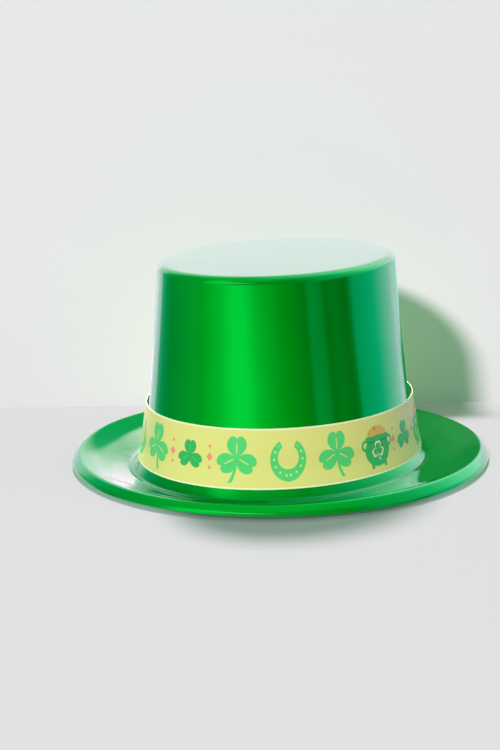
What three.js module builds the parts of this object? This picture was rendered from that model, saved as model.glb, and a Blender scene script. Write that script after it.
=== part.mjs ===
// A leprechaun's party top hat: a thin crown and brim formed from one sheet of glossy green plastic,
// with a printed card band round the foot of the crown.
// Millimetres, +Z up, -Y is the wearer's front. The origin is the centre of the plane the hat stands on.

import * as THREE from "three";

// Sizes of the formed shell. "Length" runs front to back along Y, and "width" side to side along X.
// Each is a half size, measured from the middle of the hat.
const hatHeight = 127;
const sheetThickness = 0.8;
const crownTopHalfLength = 82;
const crownTopHalfWidth = 66;
const crownFootHalfLength = 90.1;
const crownFootHalfWidth = 79.3;
const crownFootHeight = 11.2;
const crownEdgeRadius = 5;
const crownWaistHollow = 0.9;
const crownWaistRadius = 1500;
const coveRadius = 16;
const coveFlareWidth = 7.7;
const coveFoldRadius = 1.5;
const restRingWidth = 3;
const restRingRadius = 8;
const brimHalfLength = 130.5;
const brimHalfWidth = 128;
const brimUpturnWidth = 12.7;
const brimUpturnHeight = 4;
const brimUpturnRadius = 40;
const brimCrestHeight = 7.8;
const brimSideRise = 1.4;
const brimCrestRadius = 2.6;
const lipWidth = 4.3;
const lipShoulderHeight = 4.4;
const lipShoulderRadius = 1.8;
const lipSkirtFlare = 0.5;
const lipEdgeHeight = 2.4;

// Sizes of the card band. A stand-off is how far the card's inner face stays outside the crown's wall.
const bandHeight = 34.5;
const cardThickness = 0.5;
const bandTopGapFront = 0.4;
const bandTopGapSide = 2.8;
const bandFootGapFront = 4.1;
const bandFootGapSide = 4.5;
const bandSideShift = 0.6;
const bandHollow = 0.6;
const bandSeatGap = 0.45;
const bandLapLength = 18;
const lapEdgeWidth = 0.4;

// How finely the round forms are cut into flat faces.
const shellColumns = 72;
const bandColumns = 72;

// The band's inner face from foot to top: the share of its height, and the share of its hollow.
const bandSections = [
  { height: 0, hollow: 0 },
  { height: 0.15, hollow: 0.6 },
  { height: 0.3, hollow: 1 },
  { height: 0.5, hollow: 0.75 },
  { height: 0.75, hollow: 0 },
  { height: 1, hollow: 0 },
];

// Corners of the shell's upper face in one upright plane, from the middle of the crown's top out to the
// lip's edge. The hat stands on the flat ring where the cove ends, one sheet thickness above the plane
// of rest. A corner with a radius is rounded in the given number of steps.
function shellCorners(topReach, footReach, brimReach, crestHeight) {
  const waistReach = (topReach + footReach) / 2 - crownWaistHollow;
  const waistHeight = (hatHeight + crownFootHeight) / 2;
  const restReach = footReach + coveFlareWidth;
  const upturnReach = brimReach - lipWidth - brimUpturnWidth;
  return [
    { reach: 0, height: hatHeight, radius: 0, steps: 0 },
    { reach: topReach, height: hatHeight, radius: crownEdgeRadius, steps: 5 },
    { reach: waistReach, height: waistHeight, radius: crownWaistRadius, steps: 3 },
    { reach: footReach, height: crownFootHeight, radius: coveRadius, steps: 4 },
    { reach: restReach, height: sheetThickness, radius: coveFoldRadius, steps: 2 },
    { reach: restReach + restRingWidth, height: sheetThickness, radius: restRingRadius, steps: 1 },
    { reach: upturnReach, height: brimUpturnHeight, radius: brimUpturnRadius, steps: 1 },
    { reach: brimReach - lipWidth, height: crestHeight, radius: brimCrestRadius, steps: 3 },
    { reach: brimReach - lipSkirtFlare, height: lipShoulderHeight, radius: lipShoulderRadius, steps: 2 },
    { reach: brimReach, height: lipEdgeHeight, radius: 0, steps: 0 },
  ];
}

// Turns a row of corners into an outline, with an arc at each rounded corner.
function roundedOutline(corners) {
  const places = corners.map((corner) => new THREE.Vector2(corner.reach, corner.height));
  return corners.flatMap((corner, i) => {
    if (!corner.radius) return [places[i].clone()];
    const back = places[i - 1].clone().sub(places[i]);
    const ahead = places[i + 1].clone().sub(places[i]);
    const room = Math.min(back.length(), ahead.length()) / 2;
    const halfAngle = Math.acos(back.clone().normalize().dot(ahead.clone().normalize())) / 2;
    const tangent = Math.min(corner.radius / Math.tan(halfAngle), room);
    const start = places[i].clone().addScaledVector(back.normalize(), tangent);
    const end = places[i].clone().addScaledVector(ahead.normalize(), tangent);
    return arcBetween(start, places[i], end, tangent * Math.tan(halfAngle), corner.steps);
  });
}

// Points on the arc that touches the corner's two sides at its start and its end.
function arcBetween(start, corner, end, radius, steps) {
  const chordMiddle = start.clone().add(end).divideScalar(2);
  const inward = chordMiddle.clone().sub(corner).normalize();
  const centre = corner.clone().addScaledVector(inward, Math.hypot(radius, start.distanceTo(corner)));
  const from = start.clone().sub(centre).angle();
  let turn = end.clone().sub(centre).angle() - from;
  if (turn > Math.PI) turn -= 2 * Math.PI;
  if (turn < -Math.PI) turn += 2 * Math.PI;
  return Array.from({ length: steps + 1 }, (_, k) => {
    const angle = from + (turn * k) / steps;
    return centre.clone().add(new THREE.Vector2(Math.cos(angle), Math.sin(angle)).multiplyScalar(radius));
  });
}

// The same outline moved into the sheet by its thickness. Its last point stays level with the lip's edge.
function insideOf(outline, thickness) {
  return outline.map((point, i) => {
    const last = outline.length - 1;
    const before = i ? point.clone().sub(outline[i - 1]).normalize() : null;
    const after = i < last ? outline[i + 1].clone().sub(point).normalize() : null;
    const along = (before ?? after).clone().add(after ?? before).normalize();
    const inward = new THREE.Vector2(along.y, -along.x);
    const mitre = thickness / Math.abs((after ?? before).clone().dot(along));
    if (i === last) return new THREE.Vector2(point.x - thickness / Math.abs(along.y), point.y);
    return point.clone().addScaledVector(inward, mitre);
  });
}

// Reach of a falling outline at a height, and its height at a reach, read between its points.
function reachAt(outline, height) {
  const k = outline.findIndex((point, i) => i > 0 && point.y <= height);
  const share = (outline[k - 1].y - height) / (outline[k - 1].y - outline[k].y);
  return THREE.MathUtils.lerp(outline[k - 1].x, outline[k].x, share);
}

function heightAt(outline, reach) {
  const k = outline.findIndex((point, i) => i > 0 && point.x >= reach && outline[i - 1].x < reach);
  const share = (reach - outline[k - 1].x) / (outline[k].x - outline[k - 1].x);
  return THREE.MathUtils.lerp(outline[k - 1].y, outline[k].y, share);
}

// A hollow oval body. The two rings of points are its outlines in the front and the side plane, and
// each column of faces blends one into the other. Column angles run round from the wearer's front.
function ovalBody(frontOutline, sideOutline, columnAngles, outwardAt) {
  const geometry = new THREE.LatheGeometry(sideOutline, columnAngles.length);
  const positions = geometry.getAttribute("position");
  const rows = sideOutline.length;
  for (let i = 0; i < positions.count; i++) {
    const column = Math.floor(i / rows) % columnAngles.length;
    const row = i % rows;
    const angle = columnAngles[column];
    const towardsSide = Math.sin(angle) ** 2;
    const front = frontOutline[row];
    const side = sideOutline[row];
    const outward = outwardAt ? outwardAt(row, column) : 0;
    positions.setXYZ(
      i,
      side.x ? (side.x + outward) * Math.sin(angle) : 0,
      front.x ? -(front.x + outward) * Math.cos(angle) : 0,
      THREE.MathUtils.lerp(front.y, side.y, towardsSide),
    );
  }
  return geometry;
}

const evenAngles = (count) => Array.from({ length: count }, (_, k) => (k * 2 * Math.PI) / count);

// The crown and brim, one formed sheet, open below for the wearer's head.
const frontShell = roundedOutline(
  shellCorners(crownTopHalfLength, crownFootHalfLength, brimHalfLength, brimCrestHeight),
);
const sideShell = roundedOutline(
  shellCorners(crownTopHalfWidth, crownFootHalfWidth, brimHalfWidth, brimCrestHeight + brimSideRise),
);

function shellRing(outline) {
  return [...insideOf(outline, sheetThickness), ...outline.toReversed()];
}

const shellGeometry = ovalBody(shellRing(frontShell), shellRing(sideShell), evenAngles(shellColumns));

// The card band. Its foot sits on the cove, and its top leans towards the crown at front and back.
const bandFootFront = crownFootHalfLength + bandFootGapFront;
const bandFootSide = crownFootHalfWidth + bandFootGapSide;
const bandFootHeight =
  Math.max(heightAt(frontShell, bandFootFront), heightAt(sideShell, bandFootSide - bandSideShift)) +
  bandSeatGap;
const bandTopFront = reachAt(frontShell, bandFootHeight + bandHeight) + bandTopGapFront;
const bandTopSide = reachAt(sideShell, bandFootHeight + bandHeight) + bandTopGapSide;

function bandRing(footReach, topReach) {
  const inner = bandSections.map(
    (section) =>
      new THREE.Vector2(
        THREE.MathUtils.lerp(footReach, topReach, section.height) - bandHollow * section.hollow,
        bandFootHeight + bandHeight * section.height,
      ),
  );
  const outer = inner.map((point) => new THREE.Vector2(point.x + cardThickness, point.y));
  return [...inner.toReversed(), ...outer, inner.at(-1).clone()];
}

// The strip's ends lap at the back. The outer end stops in a sharp edge one card thick, and on the other
// side of the lap the strip slopes back down to the crown over the width of one column.
const lapColumns = 3;
const lapHalfAngle = bandLapLength / 2 / bandFootSide;
const lapEdgeAngle = lapEdgeWidth / bandFootSide;
const plainColumns = bandColumns - lapColumns;
const plainStep = (2 * Math.PI - 2 * lapHalfAngle) / plainColumns;
const bandAngles = [
  Math.PI - lapHalfAngle,
  Math.PI,
  Math.PI + lapHalfAngle,
  ...Array.from({ length: plainColumns - 1 }, (_, k) => Math.PI + lapHalfAngle + (k + 1) * plainStep),
  3 * Math.PI - lapHalfAngle - lapEdgeAngle,
];
const isOuterRow = (row) => row >= bandSections.length && row < 2 * bandSections.length;

const bandGeometry = ovalBody(
  bandRing(bandFootFront, bandTopFront),
  bandRing(bandFootSide, bandTopSide),
  bandAngles,
  (row, column) => (column < lapColumns && isOuterRow(row) ? cardThickness : 0),
);

const glossyGreenPlastic = new THREE.MeshStandardMaterial({
  color: 0x06a33a,
  roughness: 0.18,
  metalness: 0.75,
});
const paleYellowCard = new THREE.MeshStandardMaterial({
  color: 0xe3dd8c,
  roughness: 0.4,
  metalness: 0,
});

function namedPiece(name, geometry, material) {
  const mesh = new THREE.Mesh(geometry, material);
  mesh.name = name;
  return mesh;
}

const shell = namedPiece("hat_shell", shellGeometry, glossyGreenPlastic);

// The loose band sits a little to one side, so it stands off more on the wearer's left than on the right.
const band = namedPiece("hat_band", bandGeometry, paleYellowCard);
band.position.x = bandSideShift;

const hat = new THREE.Group();
hat.add(shell, band);

export default hat;
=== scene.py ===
# %% [markdown]
# # A leprechaun's party hat
# The real hat is two pieces. One sheet of glossy green plastic is formed hot over a mould, so the crown,
# the brim and the rolled lip are one thin shell. A strip of printed card is wrapped round the foot of the
# crown, and its two ends lap at the back. This lesson models each piece as it is made, gives it its finish
# and its print, and sets the light that a glossy hat needs.

# %% Load the frame
import math
from collections import namedtuple

import bmesh
import bpy
from mathutils import Matrix, Vector


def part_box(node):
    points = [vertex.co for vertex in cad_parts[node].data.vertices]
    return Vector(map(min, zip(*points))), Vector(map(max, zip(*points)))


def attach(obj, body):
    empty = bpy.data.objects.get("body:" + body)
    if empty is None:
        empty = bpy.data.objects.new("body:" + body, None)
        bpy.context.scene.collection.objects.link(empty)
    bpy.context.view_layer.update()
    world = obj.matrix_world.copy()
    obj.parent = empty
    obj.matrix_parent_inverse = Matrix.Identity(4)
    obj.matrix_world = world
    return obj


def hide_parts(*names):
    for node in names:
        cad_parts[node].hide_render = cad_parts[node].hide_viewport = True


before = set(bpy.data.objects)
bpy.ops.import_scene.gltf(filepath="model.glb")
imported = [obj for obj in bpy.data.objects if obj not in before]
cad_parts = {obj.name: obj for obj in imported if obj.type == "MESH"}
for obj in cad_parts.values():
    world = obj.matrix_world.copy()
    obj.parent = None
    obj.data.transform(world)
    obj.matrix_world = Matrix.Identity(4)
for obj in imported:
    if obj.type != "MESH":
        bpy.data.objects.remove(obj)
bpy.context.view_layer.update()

# %% [markdown]
# ## Sizes
# The frame gives the places: how far the brim reaches, how high the crown stands, where the band starts
# and stops. What a box can't give, such as the crown's own oval, is written here in millimetres.
# Length runs from front to back along Y, and width from side to side along X. The wearer looks towards -Y.

# %% Sizes from the frame and of the two pieces
mm = 0.001
shell_low, shell_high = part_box("hat_shell")
band_low, band_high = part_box("hat_band")

sheet_thickness = 0.8 * mm
crown_top_length, crown_top_width = 82 * mm, 66 * mm
crown_foot_length, crown_foot_width, crown_foot_height = 90.1 * mm, 79.3 * mm, 11.2 * mm
crown_waist_hollow = 0.9 * mm
cove_flare_width = 7.7 * mm
rest_ring_width = 3 * mm
brim_length, brim_width = shell_high.y, shell_high.x
brim_upturn_width, brim_upturn_height = 12.7 * mm, 4 * mm
brim_crest_height = 7.8 * mm
brim_side_rise = 1.4 * mm
lip_width = 4.3 * mm
lip_shoulder_height = 4.4 * mm
lip_skirt_flare = 0.5 * mm
lip_edge_height = 2.4 * mm

card_thickness = 0.5 * mm
band_height = band_high.z - band_low.z
band_shift = (band_high.x + band_low.x) / 2
band_foot_length, band_foot_width = -band_low.y, band_high.x - band_shift
band_top_length, band_top_width = 88.5 * mm, 78.7 * mm
band_lap = 18 * mm
print(f"The band is {band_height / mm:.1f} mm high and sits {band_shift / mm:.1f} mm to one side")

# %% [markdown]
# ## The formed shell
# A hand modeller could spin this shape from an outline. A spin makes circles, and this hat is a row of
# ovals that change their proportions from the head to the brim. So it starts as one circle of edges that
# is scaled to the brim's oval, and each further ring is extruded from the last and scaled on its own.

# %% Helpers for modelling in edit mode
Ring = namedtuple("Ring", "length width height")


def start_alone():
    """Operators act on all that is selected, so nothing else may be."""
    if bpy.context.object and bpy.context.object.mode != "OBJECT":
        bpy.ops.object.mode_set(mode="OBJECT")
    bpy.ops.object.select_all(action="DESELECT")


def share_of_oval(place, ring):
    """1 on the ring's oval, less inside it and more outside it."""
    return math.hypot(place.x / ring.width, place.y / ring.length)


def select_ring(piece, ring, tolerance=2e-4):
    """Selects the edges that run round on a ring, by their place."""
    bpy.ops.mesh.select_all(action="DESELECT")
    mesh = bmesh.from_edit_mesh(piece.data)
    for edge in mesh.edges:
        if all(abs(share_of_oval(end.co, ring) - 1) < tolerance for end in edge.verts):
            edge.select_set(True)
    mesh.select_flush_mode()
    bmesh.update_edit_mesh(piece.data)
    return sum(edge.select for edge in mesh.edges)


def apply_all(piece):
    """Applies every modifier of a piece in its order."""
    bpy.context.view_layer.objects.active = piece
    for modifier in list(piece.modifiers):
        bpy.ops.object.modifier_apply(modifier=modifier.name)


# %% List the shell's rings from the lip's edge to the crown's top
def further_out(ring, width, height):
    """The ring a given width outside another one, or inside it where the width is negative."""
    return Ring(ring.length + width, ring.width + width, height)


brim = Ring(brim_length, brim_width, lip_edge_height)
lip_shoulder = further_out(brim, -lip_skirt_flare, lip_shoulder_height)
crest = further_out(brim, -lip_width, brim_crest_height)
upturn = further_out(crest, -brim_upturn_width, brim_upturn_height)
crown_foot = Ring(crown_foot_length, crown_foot_width, crown_foot_height)
rest_inner = further_out(crown_foot, cove_flare_width, sheet_thickness)
rest_outer = further_out(rest_inner, rest_ring_width, sheet_thickness)
crown_top = Ring(crown_top_length, crown_top_width, shell_high.z)
crown_waist = Ring(
    (crown_foot.length + crown_top.length) / 2 - crown_waist_hollow,
    (crown_foot.width + crown_top.width) / 2 - crown_waist_hollow,
    (crown_foot.height + crown_top.height) / 2,
)
shell_rings = [brim, lip_shoulder, crest, upturn, rest_outer, rest_inner, crown_foot, crown_waist, crown_top]

# %% Extrude the shell from ring to ring
shell_columns = 96
start_alone()
bpy.ops.mesh.primitive_circle_add(
    vertices=shell_columns, radius=1, fill_type="NOTHING", location=(0, 0, brim.height)
)
shell = bpy.context.object
shell.name = shell.data.name = "formed_shell"
bpy.ops.object.transform_apply(location=True, rotation=False, scale=False)
bpy.ops.object.mode_set(mode="EDIT")
bpy.ops.mesh.select_all(action="SELECT")
bpy.ops.transform.resize(value=(brim.width, brim.length, 1), center_override=(0, 0, brim.height))
for ring, next_ring in zip(shell_rings, shell_rings[1:]):
    bpy.ops.mesh.extrude_edges_move(TRANSFORM_OT_translate={"value": (0, 0, next_ring.height - ring.height)})
    bpy.ops.transform.resize(
        value=(next_ring.width / ring.width, next_ring.length / ring.length, 1),
        center_override=(0, 0, next_ring.height),
    )

# %% [markdown]
# The last ring is still open. It is filled, and the flat top is inset a few times, so that the face has
# rings of its own and the later smoothing leaves it flat.

# %% Close the crown's top
top_inset, top_rings = 14 * mm, 3
bpy.ops.mesh.edge_face_add()
for _ in range(top_rings):
    bpy.ops.mesh.inset(thickness=top_inset)
bpy.ops.object.mode_set(mode="OBJECT")
print("The rough shell has", len(shell.data.polygons), "faces")

# %% [markdown]
# The brim of the real hat isn't level. Its crest stands higher at the two sides than at front and back,
# as on a riding hat. A Displace modifier lifts the crest's ring by a vertex group: the weight is 0 at the
# front and 1 at the side, with the square of the sine between them.

# %% Lift the brim's crest at the sides
rise = shell.vertex_groups.new(name="side_rise")
for vertex in shell.data.vertices:
    if abs(share_of_oval(vertex.co, crest) - 1) < 1e-3:
        rise.add([vertex.index], (vertex.co.x / crest.width) ** 2, "REPLACE")
lift = shell.modifiers.new("side rise", "DISPLACE")
lift.direction = "Z"
lift.vertex_group = rise.name
lift.mid_level = 0
lift.strength = brim_side_rise
apply_all(shell)

# %% [markdown]
# Hot plastic can't take a sharp fold. Every ring where the outline turns gets a bevel, and its offset is
# how far the round starts from the fold. The large ones are the cove under the crown and the crown's top
# edge. The waist is so slight that it only shows in the reflections. The two rings of rest are the flat
# ring at the cove's end that the hat stands on. From there the brim rises, so the lip hangs just clear.

# %% Round each fold with a bevel
Fold = namedtuple("Fold", "ring offset segments")
folds = [
    Fold(lip_shoulder, 0.8 * mm, 3),
    Fold(crest, 1.3 * mm, 5),
    Fold(upturn, 3.6 * mm, 3),
    Fold(rest_outer, 0.9 * mm, 2),
    Fold(rest_inner, 0.8 * mm, 4),
    Fold(crown_foot, 4.6 * mm, 6),
    Fold(crown_waist, 22 * mm, 4),
    Fold(crown_top, 4.55 * mm, 7),
]
bpy.ops.object.mode_set(mode="EDIT")
for fold in folds:
    count = select_ring(shell, fold.ring)
    bpy.ops.mesh.bevel(
        offset_type="ABSOLUTE", offset=fold.offset, segments=fold.segments, profile=0.5, clamp_overlap=False
    )
    print(f"A fold of {count} edges is rounded over {fold.offset / mm:.1f} mm")
bpy.ops.mesh.select_all(action="SELECT")
bpy.ops.mesh.remove_doubles(threshold=1e-6)
bpy.ops.mesh.normals_make_consistent(inside=False)
bpy.ops.object.mode_set(mode="OBJECT")

# %% [markdown]
# Sheet that was drawn over a mould is never quite true. A cloud pattern moves the skin by less than a
# tenth of a millimetre, which nobody can measure by eye, but the reflections bend as they do on the hat.
# Then the skin gets its thickness inwards, so that the outside keeps its size.

# %% Smooth the skin, make it slightly untrue and give it its thickness
smooth = shell.modifiers.new("smooth skin", "SUBSURF")
smooth.levels = smooth.render_levels = 1
clouds = bpy.data.textures.new("forming waves", "CLOUDS")
clouds.noise_scale = 45 * mm
waves = shell.modifiers.new("forming waves", "DISPLACE")
waves.texture = clouds
waves.texture_coords = "LOCAL"
waves.direction = "NORMAL"
waves.mid_level = 0.5
waves.strength = 0.16 * mm
wall = shell.modifiers.new("sheet thickness", "SOLIDIFY")
wall.thickness = sheet_thickness
wall.offset = -1
wall.use_even_offset = True
apply_all(shell)
for vertex in shell.data.vertices:
    vertex.co.z = max(vertex.co.z, 0)
shell.vertex_groups.clear()
smooth_angle = math.radians(40)
bpy.ops.object.shade_smooth_by_angle(angle=smooth_angle)
print("The shell has", len(shell.data.polygons), "faces")

# %% [markdown]
# ## The card band
# The real band is printed flat, cut out and then wrapped, and the lesson does the same. A flat grid keeps
# its own UV map, so the print can't slip or stretch when the strip is bent. The Simple Deform modifier
# bends to circles only, so each vertex is carried along the oval in code, by the length of card before it.

# %% Helpers for the length of card along the oval
half_turn_steps = 720
middle_length = (band_foot_length + band_top_length) / 2
middle_width = (band_foot_width + band_top_width) / 2


def card_lengths():
    """Length of card from the front centre to each step of half a turn round the oval."""
    lengths = [0.0]
    step = math.pi / half_turn_steps
    for i in range(half_turn_steps):
        angle = (i + 0.5) * step
        lengths.append(
            lengths[-1] + step * math.hypot(middle_width * math.cos(angle), middle_length * math.sin(angle))
        )
    return lengths


lengths = card_lengths()
half_round = lengths[-1]


def angle_at(along):
    """Angle round the oval after a length of card, also past the middle of the back."""
    if abs(along) > half_round:
        past = (abs(along) - half_round) / middle_width
        return math.copysign(math.pi + past, along)
    i = min(int(abs(along) / half_round * half_turn_steps), half_turn_steps - 1)
    while lengths[i] > abs(along):
        i -= 1
    while lengths[i + 1] < abs(along):
        i += 1
    share = (abs(along) - lengths[i]) / (lengths[i + 1] - lengths[i])
    return math.copysign((i + share) * math.pi / half_turn_steps, along)


# %% Cut the flat strip
strip_length = 2 * half_round + band_lap
strip_columns, strip_rows = 260, 10
start_alone()
bpy.ops.mesh.primitive_grid_add(
    x_subdivisions=strip_columns, y_subdivisions=strip_rows, size=1, calc_uvs=True, location=(0, 0, 0)
)
band = bpy.context.object
band.name = band.data.name = "printed_band"
bpy.ops.object.mode_set(mode="EDIT")
bpy.ops.mesh.select_all(action="SELECT")
bpy.ops.transform.resize(value=(strip_length, band_height, 1), center_override=(0, 0, 0))
bpy.ops.object.mode_set(mode="OBJECT")
print(f"The strip is {strip_length / mm:.0f} by {band_height / mm:.1f} mm")

# %% [markdown]
# The card leans in towards the crown as it rises, and it is a little hollow in its lower half. At the
# back one end passes over the other by 18 mm, one card thickness further out, and slopes back down.

# %% Wrap the strip round the crown
band_hollow, hollow_share = 0.6 * mm, 0.6
lap_slope = 7 * mm
lap_clearance = 0.05 * mm


def eased(value):
    """0 below 0, 1 above 1, and a smooth step between them."""
    value = min(max(value, 0), 1)
    return value * value * (3 - 2 * value)


def wrapped(along, height):
    """Place of a point of the flat strip on the crown."""
    share = height / band_height
    hollow = band_hollow * math.sin(math.pi * min(share / hollow_share, 1)) ** 2
    over_end = -half_round + band_lap / 2
    lifted = (card_thickness + lap_clearance) * eased((over_end + lap_slope - along) / lap_slope)
    reach = lifted - hollow
    angle = angle_at(along)
    width = band_foot_width + (band_top_width - band_foot_width) * share + reach
    length = band_foot_length + (band_top_length - band_foot_length) * share + reach
    return Vector((width * math.sin(angle) + band_shift, -length * math.cos(angle), band_low.z + height))


for vertex in band.data.vertices:
    vertex.co = wrapped(vertex.co.x, vertex.co.y + band_height / 2)
bpy.ops.object.mode_set(mode="EDIT")
bpy.ops.mesh.select_all(action="SELECT")
bpy.ops.mesh.normals_make_consistent(inside=False)
bpy.ops.object.mode_set(mode="OBJECT")
front_face = min(band.data.polygons, key=lambda face: face.center.y)
if front_face.normal.y > 0:
    band.data.flip_normals()

# %% Give the card its thickness, with the printed side kept apart from the plain one
printed_side, plain_side = 0, 1
card = band.modifiers.new("card thickness", "SOLIDIFY")
card.thickness = card_thickness
card.offset = -1
card.material_offset = plain_side
card.material_offset_rim = plain_side

# %% [markdown]
# ## Helpers for materials
# A shader is a net of small sums. These helpers write such a net as plain lines: a value may be a number
# or the output of another node, and plugging it in works for both.

# %% Helpers that add, plug and sum nodes
def add_node(tree, kind, **settings):
    """Adds a node and sets its properties."""
    made = tree.nodes.new(kind)
    for name, value in settings.items():
        setattr(made, name, value)
    return made


def plug(tree, source, socket):
    """Puts a number, a colour or another node's output into a socket."""
    if isinstance(source, bpy.types.NodeSocket):
        tree.links.new(source, socket)
    else:
        socket.default_value = source


def calc(tree, operation, *values):
    """One Math node."""
    made = add_node(tree, "ShaderNodeMath", operation=operation)
    for value, socket in zip(values, made.inputs):
        plug(tree, value, socket)
    return made.outputs[0]


def distance_from_middle(tree, across, up):
    """Length of the straight line to a place, from its two parts."""
    return calc(tree, "SQRT", calc(tree, "ADD", calc(tree, "POWER", across, 2), calc(tree, "POWER", up, 2)))


def soft_mask(tree, depth, softness):
    """1 where a depth inside an outline is positive, with an edge of a given softness."""
    scaled = calc(tree, "MULTIPLY_ADD", depth, 1 / softness, 0.5)
    return calc(tree, "MAXIMUM", calc(tree, "MINIMUM", scaled, 1), 0)


def mix_colours(tree, mask, below, above):
    """Lays one colour over another where a mask is 1."""
    made = add_node(tree, "ShaderNodeMix", data_type="RGBA")
    plug(tree, mask, made.inputs[0])
    plug(tree, below, made.inputs[6])
    plug(tree, above, made.inputs[7])
    return made.outputs[2]


def noise(tree, place, scale, detail=2.0, roughness=0.5):
    """The value of a Noise Texture."""
    made = add_node(tree, "ShaderNodeTexNoise")
    plug(tree, place, made.inputs["Vector"])
    plug(tree, scale, made.inputs["Scale"])
    made.inputs["Detail"].default_value = detail
    made.inputs["Roughness"].default_value = roughness
    return made.outputs["Fac"]


def mapped(tree, place, scale, turn=(0, 0, 0)):
    """A place stretched along its axes, and turned first."""
    made = add_node(tree, "ShaderNodeMapping")
    made.inputs["Scale"].default_value = scale
    made.inputs["Rotation"].default_value = turn
    plug(tree, place, made.inputs["Vector"])
    return made.outputs["Vector"]


def new_group(name, inputs, outputs):
    """A shader node group, with its input sockets as outputs to read and its output sockets to fill."""
    group = bpy.data.node_groups.new(name, "ShaderNodeTree")
    for label, kind, value in inputs:
        socket = group.interface.new_socket(name=label, in_out="INPUT", socket_type=kind)
        if value is not None:
            socket.default_value = value
    for label, kind in outputs:
        group.interface.new_socket(name=label, in_out="OUTPUT", socket_type=kind)
    return group, add_node(group, "NodeGroupInput").outputs, add_node(group, "NodeGroupOutput").inputs


def use_group(tree, group, **values):
    """Places a group. An input whose name has two words is written here with an underscore."""
    made = add_node(tree, "ShaderNodeGroup", node_tree=group)
    for name, value in values.items():
        plug(tree, value, made.inputs[name.replace("_", " ").capitalize()])
    return made.outputs


def new_material(name, **settings):
    """A material with one Principled BSDF, whose plain settings are set on its own sockets."""
    material = bpy.data.materials.new(name)
    material.use_nodes = True
    tree = material.node_tree
    surface = tree.nodes["Principled BSDF"]
    for socket, value in settings.items():
        surface.inputs[socket.replace("_", " ")].default_value = value
    return material, tree, surface.inputs


def srgb(red, green, blue):
    """A colour as it is read off a screen, from 0 to 255, turned into the linear values of a shader."""
    linear = [((c / 255 + 0.055) / 1.055) ** 2.4 if c > 10 else c / 255 / 12.92 for c in (red, green, blue)]
    return (*linear, 1)


value_socket, colour_socket, place_socket = "NodeSocketFloat", "NodeSocketColor", "NodeSocketVector"

# %% [markdown]
# ## Effects that both finishes share
# Scratches, grain and wear look alike on plastic and on card, only finer or stronger. Each is one node
# group with its own inputs, and puts out a mask or a height. A thin scratch is the line where a stretched
# noise crosses its middle value, broken up by a second noise so that no line runs on for ever.

# %% Group: fine scratches
scratches, given, result = new_group(
    "fine scratches",
    [
        ("Place", place_socket, None),
        ("Spacing", value_socket, 30.0),
        ("Line width", value_socket, 0.01),
        ("Amount", value_socket, 0.5),
    ],
    [("Mask", value_socket)],
)
lines = []
for turn in (0.15, 1.35, 2.5):
    direction = mapped(scratches, given["Place"], (0.02, 1, 1), (0, 0, turn))
    streaks = noise(scratches, direction, given["Spacing"], 1.0)
    from_middle = calc(scratches, "ABSOLUTE", calc(scratches, "SUBTRACT", streaks, 0.5))
    line = calc(scratches, "GREATER_THAN", given["Line width"], from_middle)
    patches = noise(scratches, mapped(scratches, given["Place"], (0.35, 1, 1), (0, 0, turn)), 38.0, 1.0)
    kept = calc(scratches, "GREATER_THAN", given["Amount"], patches)
    lines.append(calc(scratches, "MULTIPLY", line, kept))
plug(scratches, calc(scratches, "MAXIMUM", calc(scratches, "MAXIMUM", *lines[:2]), lines[2]), result["Mask"])

# %% Group: a place unrolled from the upright walls, or seen from above where the surface lies level
level_from = 0.6
unrolled, given, result = new_group(
    "unrolled place",
    [("Place", place_socket, None), ("Facing", place_socket, None), ("Radius", value_socket, 0.08)],
    [("Flat place", place_socket)],
)
parts = add_node(unrolled, "ShaderNodeSeparateXYZ")
plug(unrolled, given["Place"], parts.inputs[0])
round_wall = add_node(unrolled, "ShaderNodeCombineXYZ")
turned = calc(unrolled, "ARCTAN2", parts.outputs["X"], parts.outputs["Y"])
plug(unrolled, calc(unrolled, "MULTIPLY", turned, given["Radius"]), round_wall.inputs["X"])
plug(unrolled, parts.outputs["Z"], round_wall.inputs["Y"])
level = add_node(unrolled, "ShaderNodeCombineXYZ")
plug(unrolled, parts.outputs["X"], level.inputs["X"])
plug(unrolled, parts.outputs["Y"], level.inputs["Y"])
facing = add_node(unrolled, "ShaderNodeSeparateXYZ")
plug(unrolled, given["Facing"], facing.inputs[0])
is_level = calc(unrolled, "GREATER_THAN", calc(unrolled, "ABSOLUTE", facing.outputs["Z"]), level_from)
either = add_node(unrolled, "ShaderNodeMix", data_type="VECTOR")
plug(unrolled, is_level, either.inputs[0])
plug(unrolled, round_wall.outputs[0], either.inputs[4])
plug(unrolled, level.outputs[0], either.inputs[5])
plug(unrolled, either.outputs[1], result["Flat place"])

# %% Group: a soft line along an oval, for wear at a fold and for painted shade in the cove
oval_line, given, result = new_group(
    "line along an oval",
    [
        ("Place", place_socket, None),
        ("Half width", value_socket, 0.1),
        ("Half length", value_socket, 0.1),
        ("Line width", value_socket, 0.002),
    ],
    [("Mask", value_socket)],
)
parts = add_node(oval_line, "ShaderNodeSeparateXYZ")
plug(oval_line, given["Place"], parts.inputs[0])
across = calc(oval_line, "DIVIDE", parts.outputs["X"], given["Half width"])
along = calc(oval_line, "DIVIDE", parts.outputs["Y"], given["Half length"])
outside = calc(oval_line, "SUBTRACT", distance_from_middle(oval_line, across, along), 1)
distance = calc(oval_line, "ABSOLUTE", calc(oval_line, "MULTIPLY", outside, given["Half width"]))
near = calc(oval_line, "SUBTRACT", 1, calc(oval_line, "DIVIDE", distance, given["Line width"]))
plug(oval_line, calc(oval_line, "POWER", calc(oval_line, "MAXIMUM", near, 0), 1.5), result["Mask"])
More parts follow.
